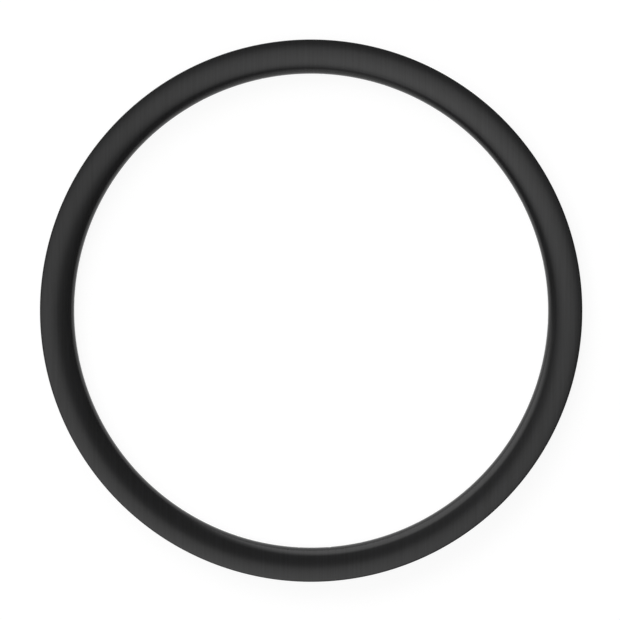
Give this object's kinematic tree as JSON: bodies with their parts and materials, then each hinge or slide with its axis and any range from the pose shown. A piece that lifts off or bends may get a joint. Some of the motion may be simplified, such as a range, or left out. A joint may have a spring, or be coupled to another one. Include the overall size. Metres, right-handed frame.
{
  "type": "bicycle rim",
  "caption": "Deep hollow carbon bicycle rim with a hooked tubeless tyre seat, radial spoke holes with access holes, and a valve hole.",
  "frame": {"origin": "centre of the wheel, on the axle line at the rim's mid-plane", "axes": "+Z along the axle line, so that the rim lies flat; the valve hole is on -Y"},
  "size_m": [0.6339, 0.634, 0.0278],
  "materials": {
    "carbon": "matte clear coat over unidirectional carbon fibre"
  },
  "bodies": {
    "root": {"rim": "carbon"}
  },
  "joints": []
}
